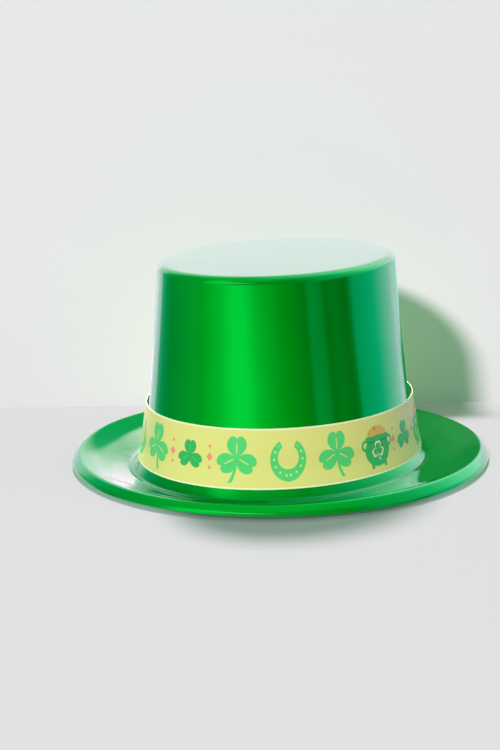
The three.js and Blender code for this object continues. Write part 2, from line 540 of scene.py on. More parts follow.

# %% [markdown]
# ## The green plastic
# The sheet is coloured with a metallic lacquer under a clear skin. That is a metallic base with some
# roughness, under a coat that mirrors sharply. Upright ripples come from the hot sheet sliding down the
# mould, and they are stretched along Z. At the brim's folds the lacquer is stretched thin and paler. Low
# down where the cove ends, the green is painted darker: that is painted shade in the cove.

# %% Material: metallic green plastic
green, tree, surface = new_material(
    "metallic green plastic", Metallic=0.93, Coat_Weight=1.0, Coat_Roughness=0.035, Coat_IOR=1.55
)
coordinates = add_node(tree, "ShaderNodeTexCoord")
place = coordinates.outputs["Object"]
flat_place = use_group(tree, unrolled, place=place, facing=coordinates.outputs["Normal"], radius=80 * mm)[0]
lively_green, deep_green = srgb(0, 205, 78), srgb(0, 176, 62)
fold_green, cove_shade_green = srgb(70, 222, 130), srgb(0, 120, 44)
fold_strength, cove_shade_strength = 0.55, 0.5
cove_shade_top, cove_shade_softness = 9 * mm, 6 * mm


def along_ring(ring, line_width):
    """A soft line along one of the shell's rings."""
    return use_group(
        tree, oval_line, place=place, half_width=ring.width, half_length=ring.length, line_width=line_width
    )[0]


body_colour = mix_colours(tree, noise(tree, place, 14.0, 3.0), deep_green, lively_green)
at_folds = calc(tree, "MAXIMUM", along_ring(crest, 1.6 * mm), along_ring(lip_shoulder, 0.9 * mm))
worn = calc(tree, "MULTIPLY", noise(tree, place, 60.0), fold_strength)
body_colour = mix_colours(tree, calc(tree, "MULTIPLY", at_folds, worn), body_colour, fold_green)
height_parts = add_node(tree, "ShaderNodeSeparateXYZ")
plug(tree, place, height_parts.inputs[0])
# Painted shade: the green is made darker low down along the cove under the band, where shade falls.
low_down = soft_mask(tree, calc(tree, "SUBTRACT", cove_shade_top, height_parts.outputs["Z"]), cove_shade_softness)
painted_cove_shade = calc(tree, "MULTIPLY", along_ring(rest_inner, 4 * mm), low_down)
body_colour = mix_colours(tree, calc(tree, "MULTIPLY", painted_cove_shade, cove_shade_strength), body_colour, cove_shade_green)
plug(tree, body_colour, surface["Base Color"])

rubbed = use_group(tree, scratches, place=flat_place, spacing=55.0, line_width=0.004, amount=0.4)[0]
haze = calc(tree, "MULTIPLY_ADD", noise(tree, place, 9.0, 4.0), 0.08, 0.06)
plug(tree, calc(tree, "MULTIPLY_ADD", rubbed, 0.08, haze), surface["Roughness"])

ripples = noise(tree, mapped(tree, place, (1, 1, 0.06)), 55.0, 2.0)
fine_grain = noise(tree, place, 1400.0, 1.0)
relief = calc(tree, "MULTIPLY_ADD", fine_grain, 0.012, calc(tree, "MULTIPLY_ADD", rubbed, -0.05, ripples))
bump = add_node(tree, "ShaderNodeBump")
bump.inputs["Strength"].default_value = 1.0
bump.inputs["Distance"].default_value = 0.075 * mm
plug(tree, relief, bump.inputs["Height"])
plug(tree, bump.outputs["Normal"], surface["Normal"])

# %% [markdown]
# The shadow of the real hat is green, because some light passes through the thin sheet. Cycles asks a
# material how much light it lets pass with shadow rays. So for those rays alone the plastic is a clear
# green filter, and for all others it stays as it is. Light passes two skins of each sheet, the outer and
# the inner one, so the filter's colour works twice.

# %% Let the lamps shine through the thin sheet
skin_filter = (0.46, 0.67, 0.57, 1)
through = add_node(tree, "ShaderNodeBsdfTransparent")
through.inputs["Color"].default_value = skin_filter
sheet_or_light = add_node(tree, "ShaderNodeMixShader")
plug(tree, add_node(tree, "ShaderNodeLightPath").outputs["Is Shadow Ray"], sheet_or_light.inputs["Fac"])
tree.links.new(tree.nodes["Principled BSDF"].outputs[0], sheet_or_light.inputs[1])
tree.links.new(through.outputs[0], sheet_or_light.inputs[2])
tree.links.new(sheet_or_light.outputs[0], tree.nodes["Material Output"].inputs["Surface"])
shell.data.materials.append(green)

# %% [markdown]
# ## The print
# The card is printed in a few flat inks: two greens, coral, gold and cream on pale yellow. The motifs are
# the old ones of the day: shamrocks, horseshoes and pots of gold. Each motif is drawn by a formula on the
# strip's own UV map, so it stays crisp at any distance. A motif is a group that takes a place on the card
# in millimetres, measured from its own middle. It puts out masks, with an edge as soft as printed ink.
# Three leaves round the middle are one curve: the cosine of one and a half times the bearing.

# %% Group: a shamrock
print_edge = 0.25
shamrock, given, result = new_group(
    "shamrock",
    [("Across", value_socket, 0.0), ("Up", value_socket, 0.0), ("Radius", value_socket, 12.0)],
    [("Mask", value_socket), ("Veins", value_socket)],
)
leaves_in_half_turn = 1.5
notch_depth, notch_sharpness = 0.2, 5
stem_widening = 0.04
stem_root, stem_reach, stem_bow, vein_half, vein_start, vein_end = (
    calc(shamrock, "MULTIPLY", given["Radius"], share) for share in (0.045, 1.12, 4.5, 0.022, 0.16, 0.62)
)
bearing = calc(shamrock, "ARCTAN2", given["Across"], given["Up"])
from_centre = distance_from_middle(shamrock, given["Across"], given["Up"])
leaf_turn = calc(shamrock, "MULTIPLY", bearing, leaves_in_half_turn)
off_vein = calc(shamrock, "ABSOLUTE", calc(shamrock, "SINE", leaf_turn))
lobe = calc(shamrock, "SQRT", calc(shamrock, "ABSOLUTE", calc(shamrock, "COSINE", leaf_turn)))
at_tip = calc(shamrock, "POWER", calc(shamrock, "SUBTRACT", 1, off_vein), notch_sharpness)
notched = calc(shamrock, "MULTIPLY", lobe, calc(shamrock, "MULTIPLY_ADD", at_tip, -notch_depth, 1))
leaf_edge = calc(shamrock, "MULTIPLY", given["Radius"], notched)
leaves = soft_mask(shamrock, calc(shamrock, "SUBTRACT", leaf_edge, from_centre), print_edge)
sunk = calc(shamrock, "MULTIPLY", given["Up"], -1)
stem_bend = calc(shamrock, "DIVIDE", calc(shamrock, "POWER", calc(shamrock, "MAXIMUM", sunk, 0), 2), stem_bow)
stem_half = calc(shamrock, "MULTIPLY_ADD", sunk, stem_widening, stem_root)
off_stem = calc(shamrock, "ABSOLUTE", calc(shamrock, "SUBTRACT", given["Across"], stem_bend))
stem_side = calc(shamrock, "SUBTRACT", stem_half, off_stem)
above_end = calc(shamrock, "SUBTRACT", stem_reach, sunk)
stem_depth = calc(shamrock, "MINIMUM", calc(shamrock, "MINIMUM", stem_side, above_end), sunk)
stem = soft_mask(shamrock, stem_depth, print_edge)
plug(shamrock, calc(shamrock, "MAXIMUM", leaves, stem), result["Mask"])
vein_bend = calc(shamrock, "DIVIDE", off_vein, leaves_in_half_turn)
vein_distance = calc(shamrock, "MULTIPLY", from_centre, vein_bend)
on_vein = calc(shamrock, "SUBTRACT", vein_half, vein_distance)
before_end = calc(shamrock, "SUBTRACT", vein_end, from_centre)
past_start = calc(shamrock, "SUBTRACT", from_centre, vein_start)
vein_depth = calc(shamrock, "MINIMUM", calc(shamrock, "MINIMUM", on_vein, before_end), past_start)
plug(shamrock, soft_mask(shamrock, vein_depth, print_edge), result["Veins"])

# %% Group: a horseshoe, open at the top
horseshoe, given, result = new_group(
    "horseshoe",
    [("Across", value_socket, 0.0), ("Up", value_socket, 0.0), ("Radius", value_socket, 12.0)],
    [("Mask", value_socket), ("Nails", value_socket)],
)
shoe_slimness = 0.86
top_opening, nails_start, nail_step = 0.52, 0.75, 0.46
end_half_share, widening = 0.13, 0.045
slimmer = calc(horseshoe, "DIVIDE", given["Across"], shoe_slimness)
from_centre = distance_from_middle(horseshoe, slimmer, given["Up"])
from_top = calc(horseshoe, "ABSOLUTE", calc(horseshoe, "ARCTAN2", slimmer, given["Up"]))
iron_middle, nail_radius = (calc(horseshoe, "MULTIPLY", given["Radius"], share) for share in (0.74, 0.055))
off_middle = calc(horseshoe, "ABSOLUTE", calc(horseshoe, "SUBTRACT", from_centre, iron_middle))
half_share = calc(horseshoe, "MULTIPLY_ADD", from_top, widening, end_half_share)
iron = calc(horseshoe, "SUBTRACT", calc(horseshoe, "MULTIPLY", given["Radius"], half_share), off_middle)
open_top = calc(horseshoe, "MULTIPLY", given["Radius"], calc(horseshoe, "SUBTRACT", from_top, top_opening))
plug(horseshoe, soft_mask(horseshoe, calc(horseshoe, "MINIMUM", iron, open_top), print_edge), result["Mask"])
past_nail_step = calc(horseshoe, "SUBTRACT", from_top, calc(horseshoe, "SNAP", from_top, nail_step))
nail_turn = calc(horseshoe, "SUBTRACT", past_nail_step, nail_step / 2)
nail_across = calc(horseshoe, "MULTIPLY", nail_turn, iron_middle)
nail_distance = distance_from_middle(horseshoe, nail_across, off_middle)
nail = calc(horseshoe, "SUBTRACT", nail_radius, nail_distance)
past_ends = calc(horseshoe, "SUBTRACT", from_top, nails_start)
nail_depth = calc(horseshoe, "MINIMUM", nail, past_ends)
plug(horseshoe, soft_mask(horseshoe, nail_depth, print_edge), result["Nails"])

# %% Group: a pot of gold
pot, given, result = new_group(
    "pot of gold",
    [("Across", value_socket, 0.0), ("Up", value_socket, 0.0)],
    [("Pot", value_socket), ("Rim line", value_socket), ("Gold", value_socket), ("Coin lines", value_socket)],
)


def oval_depth(tree, across, up, middle_up, half_across, half_up):
    """How far a place is inside an oval, roughly in millimetres."""
    right = calc(tree, "DIVIDE", across, half_across)
    high = calc(tree, "DIVIDE", calc(tree, "SUBTRACT", up, middle_up), half_up)
    inside = calc(tree, "SUBTRACT", 1, distance_from_middle(tree, right, high))
    return calc(tree, "MULTIPLY", inside, min(half_across, half_up))


def bar_depth(tree, across, up, middle_across, middle_up, half_across, half_up):
    """How far a place is inside an upright bar."""
    off_across = calc(tree, "ABSOLUTE", calc(tree, "SUBTRACT", across, middle_across))
    off_up = calc(tree, "ABSOLUTE", calc(tree, "SUBTRACT", up, middle_up))
    right = calc(tree, "SUBTRACT", half_across, off_across)
    high = calc(tree, "SUBTRACT", half_up, off_up)
    return calc(tree, "MINIMUM", right, high)


rim_height, gold_foot = 4.6, 5.8
handle_across, handle_half_wire = 10.4, 0.7
coin_flatness, coin_line_half, coin_line_edge = 1.5, 0.045, 0.04
up = given["Up"]
side = calc(pot, "ABSOLUTE", given["Across"])
kettle = oval_depth(pot, side, up, middle_up=-2.5, half_across=10.5, half_up=9.5)
belly = calc(pot, "MINIMUM", kettle, calc(pot, "SUBTRACT", rim_height, up))
rim = bar_depth(pot, side, up, middle_across=0, middle_up=rim_height, half_across=9.8, half_up=1.5)
leg = bar_depth(pot, side, up, middle_across=5.4, middle_up=-11.4, half_across=1.2, half_up=1.5)
from_handle = calc(pot, "SUBTRACT", side, handle_across)
handle_ring = oval_depth(pot, from_handle, up, middle_up=1.4, half_across=2.2, half_up=2.6)
handle = calc(pot, "SUBTRACT", handle_half_wire, calc(pot, "ABSOLUTE", handle_ring))
iron = calc(pot, "MAXIMUM", calc(pot, "MAXIMUM", belly, rim), calc(pot, "MAXIMUM", leg, handle))
plug(pot, soft_mask(pot, iron, print_edge), result["Pot"])
under_rim = bar_depth(pot, side, up, middle_across=0, middle_up=2.7, half_across=8.2, half_up=0.3)
plug(pot, soft_mask(pot, under_rim, print_edge), result["Rim line"])
heap = oval_depth(pot, side, up, middle_up=gold_foot, half_across=8.6, half_up=6.0)
mound = calc(pot, "MINIMUM", heap, calc(pot, "SUBTRACT", up, gold_foot))
plug(pot, soft_mask(pot, mound, print_edge), result["Gold"])
coin_place = add_node(pot, "ShaderNodeCombineXYZ")
plug(pot, given["Across"], coin_place.inputs["X"])
plug(pot, calc(pot, "MULTIPLY", up, coin_flatness), coin_place.inputs["Y"])
coins = add_node(pot, "ShaderNodeTexVoronoi", feature="DISTANCE_TO_EDGE")
plug(pot, coin_place.outputs[0], coins.inputs["Vector"])
coins.inputs["Scale"].default_value = 0.42
coins.inputs["Randomness"].default_value = 0.55
on_line = calc(pot, "SUBTRACT", coin_line_half, coins.outputs["Distance"])
plug(pot, soft_mask(pot, on_line, coin_line_edge), result["Coin lines"])

# %% [markdown]
# The motifs repeat about the front of the hat, which saves nodes: folding the strip gives the same motif
# on the left and on the right, and a second fold about a motif's place gives two of them on each side.
# The inks are laid one over the other as a printer does. Each layer is a mask and its ink, in a list.

# %% Material: the printed side of the card
printed, tree, surface = new_material("printed yellow card", Coat_Weight=0.35, Coat_Roughness=0.18)
paper_yellow, paper_ochre, margin_cream = srgb(218, 215, 128), srgb(218, 213, 124), srgb(240, 235, 188)
light_ink, leaf_ink, line_ink = srgb(84, 200, 112), srgb(52, 172, 88), srgb(28, 112, 58)
coral_ink, gold_ink, orange_ink = srgb(236, 138, 112), srgb(222, 176, 88), srgb(196, 132, 60)
bare_paper = srgb(246, 243, 226)

sheet = add_node(tree, "ShaderNodeUVMap", uv_map=band.data.uv_layers[0].name)
sheet_parts = add_node(tree, "ShaderNodeSeparateXYZ")
plug(tree, sheet.outputs["UV"], sheet_parts.inputs[0])
along = calc(tree, "MULTIPLY_ADD", sheet_parts.outputs["X"], strip_length / mm, -strip_length / mm / 2)
up = calc(tree, "MULTIPLY_ADD", sheet_parts.outputs["Y"], band_height / mm, -band_height / mm / 2)
print_repeat = 300
folded = calc(tree, "PINGPONG", along, print_repeat / 2)
paper = mix_colours(tree, noise(tree, sheet.outputs["UV"], 30.0, 3.0), paper_ochre, paper_yellow)


def folded_about(middle, offset):
    """Distance along the card from two places at once, the same offset to each side of a middle."""
    return calc(tree, "SUBTRACT", calc(tree, "ABSOLUTE", calc(tree, "SUBTRACT", folded, middle)), offset)


shoe_place, small_place, pot_place = 60, 75, 121
big_offset, small_offset = 30, 75
big_up, small_up, pot_up, badge_up = 0.8, -0.5, -0.6, -3.0
from_small = folded_about(small_place, small_offset)
from_pot = calc(tree, "SUBTRACT", folded, pot_place)
big_place = {"across": folded_about(shoe_place, big_offset), "up": calc(tree, "SUBTRACT", up, big_up)}
badge_place = {"across": from_pot, "up": calc(tree, "SUBTRACT", up, badge_up)}

big = use_group(tree, shamrock, radius=13.0, **big_place)
shoe = use_group(tree, horseshoe, across=calc(tree, "SUBTRACT", folded, shoe_place), up=up, radius=13.0)
small = use_group(tree, shamrock, across=from_small, up=calc(tree, "SUBTRACT", up, small_up), radius=9.5)
crock = use_group(tree, pot, across=from_pot, up=calc(tree, "SUBTRACT", up, pot_up))
badge = use_group(tree, shamrock, radius=5.6, **badge_place)
badge_middle = use_group(tree, shamrock, radius=4.4, **badge_place)
layers = [
    (big["Mask"], light_ink),
    (big["Veins"], paper_yellow),
    (shoe["Mask"], light_ink),
    (shoe["Nails"], paper_yellow),
    (small["Mask"], leaf_ink),
    (small["Veins"], light_ink),
    (crock["Gold"], gold_ink),
    (calc(tree, "MULTIPLY", crock["Gold"], crock["Coin lines"]), orange_ink),
    (crock["Pot"], leaf_ink),
    (crock["Rim line"], line_ink),
    (badge["Mask"], margin_cream),
    (badge_middle["Mask"], leaf_ink),
]

# %% [markdown]
# Coral diamonds stand in pairs beside the small shamrocks. The card keeps a bare cream margin at its two
# long edges, and where fingers have rubbed the edges the ink is gone in places.

# %% Ornaments, margins and wear of the card
beside_small, diamond_half_height, diamond_slimness = 13.5, 2.6, 1.35
dot_height, dot_radius = 6.2, 0.95
margin_width, margin_edge = 0.9, 0.3
rub_reach, rub_start, rub_edge, rub_strength = 1.6, 0.55, 0.4, 0.75

off_small = calc(tree, "ABSOLUTE", from_small)
ornament_across = calc(tree, "ABSOLUTE", calc(tree, "SUBTRACT", off_small, beside_small))
off_middle = calc(tree, "ABSOLUTE", up)
diamond_share = calc(tree, "MULTIPLY_ADD", ornament_across, diamond_slimness, off_middle)
diamond = calc(tree, "SUBTRACT", diamond_half_height, diamond_share)
layers.append((soft_mask(tree, diamond, print_edge), coral_ink))
from_dot = distance_from_middle(tree, ornament_across, calc(tree, "SUBTRACT", off_middle, dot_height))
layers.append((soft_mask(tree, calc(tree, "SUBTRACT", dot_radius, from_dot), print_edge), coral_ink))
from_edge = calc(tree, "SUBTRACT", band_height / mm / 2, off_middle)
margin = soft_mask(tree, calc(tree, "SUBTRACT", margin_width, from_edge), margin_edge)
layers.append((margin, margin_cream))
flat_place = mapped(tree, sheet.outputs["UV"], (strip_length, band_height, 1))
rub_noise = calc(tree, "MULTIPLY", noise(tree, flat_place, 260.0, 4.0, 0.7), rub_reach)
rub_depth = calc(tree, "SUBTRACT", rub_noise, calc(tree, "ADD", from_edge, rub_start))
rubbed_off = soft_mask(tree, rub_depth, rub_edge)
layers.append((calc(tree, "MULTIPLY", rubbed_off, rub_strength), bare_paper))

printed_colour = paper
for mask, ink in layers:
    printed_colour = mix_colours(tree, mask, printed_colour, ink)
plug(tree, printed_colour, surface["Base Color"])

# %% Sheen and fibres of the card
card_scratches = use_group(tree, scratches, place=flat_place, spacing=60.0, line_width=0.005, amount=0.42)[0]
sheen = calc(tree, "MULTIPLY_ADD", noise(tree, flat_place, 25.0, 3.0), 0.12, 0.34)
plug(tree, calc(tree, "MULTIPLY_ADD", card_scratches, 0.12, sheen), surface["Roughness"])
fibres = noise(tree, mapped(tree, flat_place, (1, 2.2, 1)), 900.0, 3.0)
card_bump = add_node(tree, "ShaderNodeBump")
card_bump.inputs["Strength"].default_value = 1.0
card_bump.inputs["Distance"].default_value = 0.02 * mm
plug(tree, calc(tree, "MULTIPLY_ADD", card_scratches, -0.4, fibres), card_bump.inputs["Height"])
plug(tree, card_bump.outputs["Normal"], surface["Normal"])

# %% Material: the plain side and the cut edge of the card
plain, tree, surface = new_material("bare card", Roughness=0.75)
place = add_node(tree, "ShaderNodeTexCoord").outputs["Object"]
flecks = noise(tree, place, 700.0, 4.0, 0.7)
plug(tree, mix_colours(tree, flecks, srgb(198, 190, 158), srgb(240, 234, 206)), surface["Base Color"])
plain_bump = add_node(tree, "ShaderNodeBump")
plain_bump.inputs["Distance"].default_value = 0.03 * mm
plug(tree, flecks, plain_bump.inputs["Height"])
plug(tree, plain_bump.outputs["Normal"], surface["Normal"])

band.data.materials.append(printed)
band.data.materials.append(plain)
apply_all(band)
bpy.ops.object.shade_smooth_by_angle(angle=smooth_angle)
print("The band has", len(band.data.polygons), "faces")

# %% [markdown]
# ## Hand the pieces to the frame
# Each piece takes the place of the plain solid that the frame holds and rides on the one body. The card
# is kept out of mirrored rays: so close to the brim it would draw a broad brown ring there, where the real
# brim shows the crown's green.

# %% Ride and replace
for piece, node, slot in ((shell, "hat_shell", "green_plastic"), (band, "hat_band", "band_card")):
    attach(piece, "root")
    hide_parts(node)
band.visible_glossy = False

# %% [markdown]
# ## The camera
# It stands a little over a metre away, to the wearer's left of the front and somewhat above the hat. The
# hat is not in the middle of the picture, so the camera is turned until one point of the hat's axis falls
# on its pixel, and it leans by less than a degree. Turning it keeps the lens shift at zero.

# %% Camera
camera_azimuth, camera_elevation = math.radians(35.36), math.radians(12.685)
camera_distance = 1.0766
aimed_at = Vector((0, 0, 0.062))
picture_width, picture_height = 500, 750
focal_pixels = 1749.2
target_pixel = (279.31, 360.01)
lean = math.radians(-0.73)


def outward_direction(azimuth, elevation):
    """From the hat towards a camera or a lamp."""
    level = math.cos(elevation)
    return Vector((math.sin(azimuth) * level, -math.cos(azimuth) * level, math.sin(elevation)))


backwards = outward_direction(camera_azimuth, camera_elevation)
lens = bpy.data.cameras.new("camera")
lens.sensor_width = 36  # millimetres, along the longer side of the picture
lens.lens = lens.sensor_width * focal_pixels / picture_height
camera = bpy.data.objects.new("camera", lens)
bpy.context.scene.collection.objects.link(camera)
turn_left = math.atan((target_pixel[0] - picture_width / 2) / focal_pixels)
turn_up = math.atan((target_pixel[1] - picture_height / 2) / focal_pixels)
camera.matrix_world = (
    Matrix.Translation(aimed_at + backwards * camera_distance)
    @ (-backwards).to_track_quat("-Z", "Y").to_matrix().to_4x4()
    @ Matrix.Rotation(turn_left, 4, "Y")
    @ Matrix.Rotation(turn_up, 4, "X")
    @ Matrix.Rotation(lean, 4, "Z")
)
bpy.context.scene.camera = camera
print(f"The lens is {lens.lens:.1f} mm")

# %% [markdown]
# ## The stage
# The hat stands on a pale floor, close to a pale wall that catches its shadow. Seen from behind, the wall
# would hide the hat, so its back is see-through, and the lamps shine through it. A glossy hat mirrors its
# whole room, and a floor without end would fill the lower half of every reflection. So for mirrored rays
# the floor stops a hand's width from the brim and the wall ends beside the hat, and beyond them the hat
# mirrors the room.

# %% Floor and wall
wall_distance = 0.134
stage_half = 4.0
facing_camera = Matrix.Rotation(camera_azimuth, 4, "Z")

start_alone()
bpy.ops.mesh.primitive_plane_add(size=2 * stage_half, location=(0, 0, 0))
floor = bpy.context.object
floor.name = "floor"

start_alone()
bpy.ops.mesh.primitive_plane_add(size=2 * stage_half, location=(0, 0, 0))
backdrop = bpy.context.object
backdrop.name = "backdrop"
stand_up = Matrix.Rotation(math.radians(90), 4, "X")
backdrop.data.transform(facing_camera @ Matrix.Translation((0, wall_distance, stage_half)) @ stand_up)

# %% Pale stage materials
def stage_material(name, colour_of, see_through_of, filter_of=None):
    """Matt surface that is see-through where a mask is 1, and may filter the light that it lets pass."""
    material = bpy.data.materials.new(name)
    material.use_nodes = True
    tree = material.node_tree
    tree.nodes.clear()
    matt = add_node(tree, "ShaderNodeBsdfDiffuse")
    plug(tree, colour_of(tree), matt.inputs["Color"])
    clear = add_node(tree, "ShaderNodeBsdfTransparent")
    if filter_of:
        plug(tree, filter_of(tree), clear.inputs["Color"])
    blend = add_node(tree, "ShaderNodeMixShader")
    plug(tree, see_through_of(tree), blend.inputs["Fac"])
    tree.links.new(matt.outputs[0], blend.inputs[1])
    tree.links.new(clear.outputs[0], blend.inputs[2])
    tree.links.new(blend.outputs[0], add_node(tree, "ShaderNodeOutputMaterial").inputs["Surface"])
    return material


def kind_of_ray(tree, kind):
    """1 for rays of one kind, such as Is Glossy Ray."""
    return add_node(tree, "ShaderNodeLightPath").outputs[kind]


def of_geometry(tree, fact):
    """A fact of the place that a ray meets, such as Position."""
    return add_node(tree, "ShaderNodeNewGeometry").outputs[fact]


def stage_place(tree):
    """Place on the stage, turned so that X runs along the wall and Y away from the camera."""
    straight = mapped(tree, of_geometry(tree, "Position"), (1, 1, 1), (0, 0, -camera_azimuth))
    parts = add_node(tree, "ShaderNodeSeparateXYZ")
    plug(tree, straight, parts.inputs[0])
    return parts.outputs


def beyond(tree, value, limit, softness):
    """1 where a value is past a limit."""
    return soft_mask(tree, calc(tree, "SUBTRACT", value, limit), softness)


def short_of(tree, value, limit, softness):
    """1 where a value falls short of a limit."""
    return soft_mask(tree, calc(tree, "SUBTRACT", limit, value), softness)


# %% [markdown]
# The seen wall is plain. For mirrored rays it has a few fields with soft edges, painted light and shade
# that the hat's gloss shows as reflections: a pale one above the crown's height, which the flat top
# mirrors, a bright lit one low down on the left with teal over it, a pale one beyond these, a green one on
# the right that stands for the wall in the hat's shadow, and a paler one above the brim near the crown's
# right outline.

# %% Colour of the wall, and where it lets rays pass
mirrored_top = 117 * mm
left_from, far_left_from, right_outline_from = -50 * mm, -105 * mm, 70 * mm
teal_from, right_outline_height = 45 * mm, 45 * mm
wall_half_width, wall_height = 150 * mm, 250 * mm


def wall_colour(tree):
    """Pale to the camera, dimmer to bounced light, and in fields of painted light and shade to mirrored rays.
    """
    seen, bounced = (0.765, 0.75, 0.765, 1), (0.40, 0.40, 0.40, 1)
    above_crown, left_low, left_teal = (1.02, 0.86, 1.08, 1), (1.50, 0.92, 1.45, 1), (0.02, 0.42, 0.30, 1)
    far_left, right, right_outline = (0.80, 0.80, 0.95, 1), (0.06, 0.55, 0.25, 1), (0.45, 0.72, 0.72, 1)
    place = stage_place(tree)
    across, height = place["X"], place["Z"]
    # Painted reflections: the bright field low on the left stands for the lit wall.
    left_side = mix_colours(tree, beyond(tree, height, teal_from, 8 * mm), left_low, left_teal)
    left_side = mix_colours(tree, short_of(tree, across, far_left_from, 10 * mm), left_side, far_left)
    at_outline = beyond(tree, across, right_outline_from, 20 * mm)
    over_brim = beyond(tree, height, right_outline_height, 20 * mm)
    # Painted shadow for reflections: the green field on the right stands for the wall in the hat's shadow.
    right_side = mix_colours(tree, calc(tree, "MULTIPLY", at_outline, over_brim), right, right_outline)
    mirrored = mix_colours(tree, short_of(tree, across, left_from, 30 * mm), right_side, left_side)
    mirrored = mix_colours(tree, beyond(tree, height, mirrored_top, 20 * mm), mirrored, above_crown)
    colour = mix_colours(tree, kind_of_ray(tree, "Is Diffuse Ray"), seen, bounced)
    return mix_colours(tree, kind_of_ray(tree, "Is Glossy Ray"), colour, mirrored)


def wall_opening(tree):
    """Open from behind and to the lamps, and to mirrored rays that pass beside the hat or high above it."""
    place = stage_place(tree)
    beside = beyond(tree, calc(tree, "ABSOLUTE", place["X"]), wall_half_width, 30 * mm)
    past_wall = calc(tree, "MAXIMUM", beside, beyond(tree, place["Z"], wall_height, 50 * mm))
    mirrored = calc(tree, "MULTIPLY", past_wall, kind_of_ray(tree, "Is Glossy Ray"))
    lit = calc(tree, "MAXIMUM", of_geometry(tree, "Backfacing"), kind_of_ray(tree, "Is Shadow Ray"))
    return calc(tree, "MAXIMUM", mirrored, lit)


def wall_filter(tree):
    """Greens the lamp's light at the wall's foot, so that the hat's shadow runs on over the floor."""
    foot_middle, foot_half_width, foot_height = 85 * mm, 50 * mm, 60 * mm
    unfiltered, shadow_green = (1, 1, 1, 1), (0.19, 0.34, 0.20, 1)
    place = stage_place(tree)
    off_middle = calc(tree, "ABSOLUTE", calc(tree, "SUBTRACT", place["X"], foot_middle))
    across = short_of(tree, off_middle, foot_half_width, 20 * mm)
    low = short_of(tree, place["Z"], foot_height, 10 * mm)
    shaded = calc(tree, "MULTIPLY", calc(tree, "MULTIPLY", across, low), kind_of_ray(tree, "Is Shadow Ray"))
    return mix_colours(tree, shaded, unfiltered, shadow_green)


# %% Colour of the floor, and where it lets mirrored rays pass
def floor_colour(tree):
    """Pale under the lamps to the camera, and it lights the wall less than so wide a floor would."""
    seen, bounced = (0.23, 0.229, 0.231, 1), (0.05, 0.06, 0.055, 1)
    return mix_colours(tree, kind_of_ray(tree, "Is Diffuse Ray"), seen, bounced)


def floor_opening(tree):
    """Open to mirrored rays that meet the floor further out than the mirrored reach."""
    mirrored_reach = 200 * mm
    length = add_node(tree, "ShaderNodeVectorMath", operation="LENGTH")
    plug(tree, of_geometry(tree, "Position"), length.inputs[0])
    far_off = beyond(tree, length.outputs["Value"], mirrored_reach, 100 * mm)
    return calc(tree, "MULTIPLY", far_off, kind_of_ray(tree, "Is Glossy Ray"))


floor.data.materials.append(stage_material("pale floor", floor_colour, floor_opening))
backdrop.data.materials.append(stage_material("pale wall", wall_colour, wall_opening, wall_filter))

# %% [markdown]
# ## The light
# The key lamp, to the left of the camera, throws the hat's shadow on the wall. A soft lamp above it and a
# weak one on the right fill the shaded sides. The lamp from behind shines through the wall, lights the
# floor and throws the wide soft shadow in front of the brim. No lamp is mirrored in the plastic. A bearing
# is counted from the camera, and it is positive to the right.

# %% Lamps
def add_lamp(name, kind, bearing, elevation, distance, energy, colour, **settings):
    """A lamp that shines on the hat, placed by its bearing from the camera and its elevation."""
    data = bpy.data.lights.new(name, kind)
    data.energy = energy
    data.color = colour
    for setting, value in settings.items():
        setattr(data, setting, value)
    lamp = bpy.data.objects.new(name, data)
    bpy.context.scene.collection.objects.link(lamp)
    towards = outward_direction(camera_azimuth + math.radians(bearing), math.radians(elevation))
    lamp.location = aimed_at + towards * distance
    lamp.rotation_euler = towards.to_track_quat("Z", "Y").to_euler()
    lamp.visible_glossy = False


def add_sun(name, bearing, elevation, energy, colour, width):
    """Parallel light. The width is how wide the lamp looks from the hat, in degrees."""
    add_lamp(name, "SUN", bearing, elevation, 3, energy, colour, angle=math.radians(width))


add_sun("key", bearing=-25.3, elevation=30.3, energy=3.3, colour=(1.0, 0.955, 1.0), width=6)
add_lamp(
    "soft fill", "AREA", bearing=-42, elevation=50, distance=1.6, energy=4, colour=(0.85, 1.05, 0.94),
    shape="DISK", size=0.8,
)
add_sun("side fill", bearing=80, elevation=20, energy=0.9, colour=(1.0, 0.98, 0.92), width=40)
add_sun("from behind", bearing=-172, elevation=54, energy=9.1, colour=(1.0, 1.0, 1.0), width=11)

# %% [markdown]
# What a glossy hat shows is the room itself, so the room is drawn in the world, and only mirrored rays see
# it. Its walls are a ramp of colours round the hat: the brightest green a little to the left of the camera,
# darker greens on both sides, and pale colours behind the hat. The upper room has a ramp of its own, and so
# has the ceiling. A small bright window high up gives the line along the front edge of the crown's top.

# %% The room that the gloss mirrors
Bearing = namedtuple("Bearing", "degrees colour")
room = [
    Bearing(-180, (0.75, 0.75, 0.95)),
    Bearing(-142, (0.75, 0.75, 0.95)),
    Bearing(-138, (0.10, 0.50, 0.42)),
    Bearing(-127, (0.00, 0.40, 0.28)),
    Bearing(-113, (0.00, 0.34, 0.12)),
    Bearing(-72, (0.00, 0.50, 0.14)),
    Bearing(-62, (0.00, 0.52, 0.07)),
    Bearing(-38, (0.00, 0.80, 0.16)),
    Bearing(-24, (0.01, 1.12, 0.34)),
    Bearing(-12, (0.01, 1.12, 0.34)),
    Bearing(1, (0.00, 0.76, 0.14)),
    Bearing(24, (0.00, 0.44, 0.02)),
    Bearing(47, (0.00, 0.26, 0.01)),
    Bearing(49, (0.00, 0.40, 0.20)),
    Bearing(60, (0.00, 0.35, 0.16)),
    Bearing(63, (0.00, 0.23, 0.01)),
    Bearing(72, (0.00, 0.27, 0.05)),
    Bearing(82, (0.01, 0.21, 0.02)),
    Bearing(86, (0.00, 0.26, 0.06)),
    Bearing(90, (0.00, 0.50, 0.62)),
    Bearing(112, (0.02, 0.64, 0.92)),
    Bearing(125, (0.45, 0.72, 1.05)),
    Bearing(147, (0.80, 0.78, 1.02)),
    Bearing(180, (0.75, 0.75, 0.95)),
]
